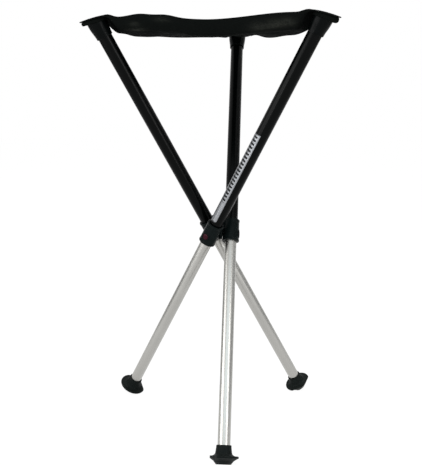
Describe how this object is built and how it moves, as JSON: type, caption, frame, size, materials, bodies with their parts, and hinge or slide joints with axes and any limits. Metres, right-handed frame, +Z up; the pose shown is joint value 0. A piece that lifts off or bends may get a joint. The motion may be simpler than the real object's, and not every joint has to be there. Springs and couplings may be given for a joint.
{
  "type": "telescopic tripod stool",
  "caption": "Tall folding tripod stool: crossed telescopic legs turn on a central hub, with a cloth sling seat on the leg tops, push-button leg locks and wide rubber feet.",
  "frame": {"origin": "on the floor, under the middle of the box that the open stool fills", "axes": "+Z up; leg 3 runs along +Y as it rises, so its seat corner is at the back (+Y) and its foot at the front (-Y)"},
  "size_m": [0.4328, 0.4757, 0.7649],
  "materials": {
    "black_tube": "black anodised, satin",
    "bare_tube": "satin anodised",
    "plated_steel": "zinc plated",
    "black_nylon": "moulded, fine texture",
    "red_plastic": "moulded, gloss",
    "black_rubber": "moulded, matt",
    "black_cloth": "plain woven"
  },
  "bodies": {
    "hub": {"hub_upper_half": "black_nylon", "hub_lower_half": "black_nylon", "hub_bolt": "plated_steel", "hub_nut": "plated_steel", "seat_sling": "black_cloth"},
    "leg_1": {"upper_tube_1": "black_tube", "corner_cap_1": "black_nylon", "corner_pocket_1": "black_cloth", "pivot_sleeve_1": "black_nylon", "pivot_pin_1": "plated_steel"},
    "lower_leg_1": {"lower_tube_1": "bare_tube", "tube_plug_1": "black_nylon", "lock_clip_1": "plated_steel", "foot_1": "black_rubber", "foot_washer_1": "plated_steel"},
    "button_1": {"release_button_1": "red_plastic"},
    "leg_2": {"upper_tube_2": "black_tube", "corner_cap_2": "black_nylon", "corner_pocket_2": "black_cloth", "pivot_sleeve_2": "black_nylon", "pivot_pin_2": "plated_steel"},
    "lower_leg_2": {"lower_tube_2": "bare_tube", "tube_plug_2": "black_nylon", "lock_clip_2": "plated_steel", "foot_2": "black_rubber", "foot_washer_2": "plated_steel"},
    "button_2": {"release_button_2": "red_plastic"},
    "leg_3": {"upper_tube_3": "black_tube", "corner_cap_3": "black_nylon", "corner_pocket_3": "black_cloth", "pivot_sleeve_3": "black_nylon", "pivot_pin_3": "plated_steel"},
    "lower_leg_3": {"lower_tube_3": "bare_tube", "tube_plug_3": "black_nylon", "lock_clip_3": "plated_steel", "foot_3": "black_rubber", "foot_washer_3": "plated_steel"},
    "button_3": {"release_button_3": "red_plastic"}
  },
  "joints": [
    {"name": "leg_1_fold", "type": "hinge", "parent": "hub", "child": "leg_1", "pos_m": [0, 0.0112, 0.37056], "axis": [-0.5, 0.866, 0], "range_deg": [0, 30], "deforming": ["seat_sling"]},
    {"name": "lower_leg_1_slide", "type": "slide", "parent": "leg_1", "child": "lower_leg_1", "axis": [-0.433, -0.25, 0.866], "range_m": [0, 0.369], "deforming": ["lock_clip_1"]},
    {"name": "button_1_press", "type": "slide", "parent": "leg_1", "child": "button_1", "axis": [0.5, -0.866, 0], "range_m": [0, 0.0014], "stiffness_N_per_m": 3000, "springref_m": -0.0015, "deforming": ["lock_clip_1"]},
    {"name": "leg_2_fold", "type": "hinge", "parent": "hub", "child": "leg_2", "pos_m": [0, -0.0314, 0.37056], "axis": [-0.5, -0.866, 0], "range_deg": [0, 30], "deforming": ["seat_sling"]},
    {"name": "lower_leg_2_slide", "type": "slide", "parent": "leg_2", "child": "lower_leg_2", "axis": [0.433, -0.25, 0.866], "range_m": [0, 0.369], "deforming": ["lock_clip_2"]},
    {"name": "button_2_press", "type": "slide", "parent": "leg_2", "child": "button_2", "axis": [0.5, 0.866, 0], "range_m": [0, 0.0014], "stiffness_N_per_m": 3000, "springref_m": -0.0015, "deforming": ["lock_clip_2"]},
    {"name": "leg_3_fold", "type": "hinge", "parent": "hub", "child": "leg_3", "pos_m": [0.0369, -0.0101, 0.37056], "axis": [1, 0, 0], "range_deg": [0, 30], "deforming": ["seat_sling"]},
    {"name": "lower_leg_3_slide", "type": "slide", "parent": "leg_3", "child": "lower_leg_3", "axis": [0, 0.5, 0.866], "range_m": [0, 0.369], "deforming": ["lock_clip_3"]},
    {"name": "button_3_press", "type": "slide", "parent": "leg_3", "child": "button_3", "axis": [-1, 0, 0], "range_m": [0, 0.0014], "stiffness_N_per_m": 3000, "springref_m": -0.0015, "deforming": ["lock_clip_3"]}
  ],
  "couplings": [
    {"joint": "leg_2_fold", "follows": "leg_1_fold", "ratio": 1},
    {"joint": "leg_3_fold", "follows": "leg_1_fold", "ratio": 1}
  ]
}
